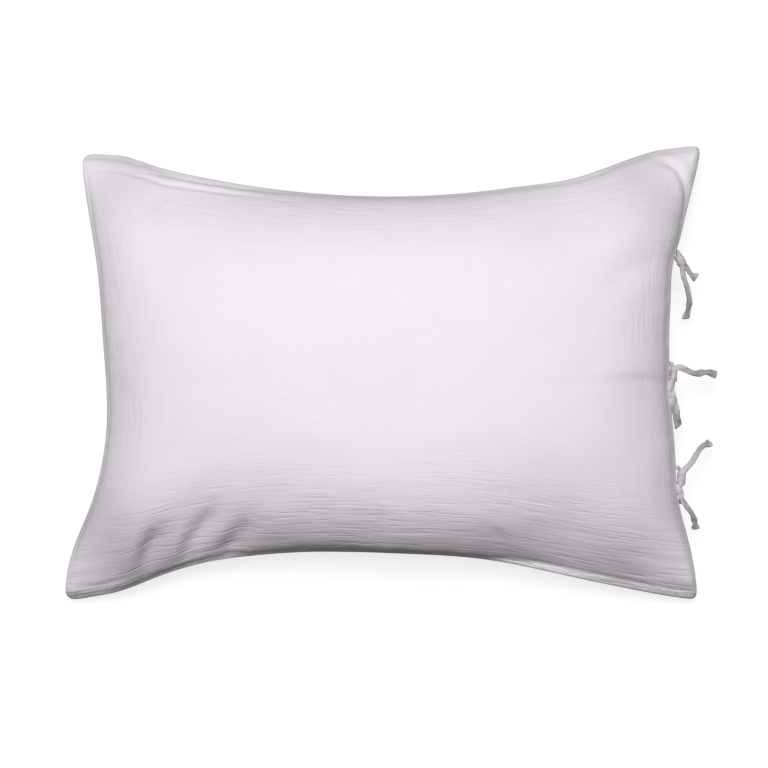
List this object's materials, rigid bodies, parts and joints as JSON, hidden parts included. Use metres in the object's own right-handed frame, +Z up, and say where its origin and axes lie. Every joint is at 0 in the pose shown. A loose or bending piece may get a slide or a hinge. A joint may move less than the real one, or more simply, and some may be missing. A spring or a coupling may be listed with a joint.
{
  "type": "filled pillowcase with ties",
  "caption": "Filled cotton gauze pillowcase lying on its back, its open end closed by knotted self-fabric ties.",
  "frame": {"origin": "on the surface it lies on, below the middle of the case", "axes": "+Z up out of the front, +X towards the mouth with the ties, +Y towards the top edge"},
  "size_m": [0.721, 0.5018, 0.1995],
  "materials": {
    "case_cloth": "matt crinkled cotton gauze, cool faintly lilac white",
    "tie_cloth": "matt folded strip of the same cotton gauze"
  },
  "bodies": {
    "root": {"case": "case_cloth", "tie_top_front": "tie_cloth", "tie_top_back": "tie_cloth", "tie_middle_front": "tie_cloth", "tie_middle_back": "tie_cloth", "tie_bottom_front": "tie_cloth", "tie_bottom_back": "tie_cloth"}
  },
  "joints": []
}
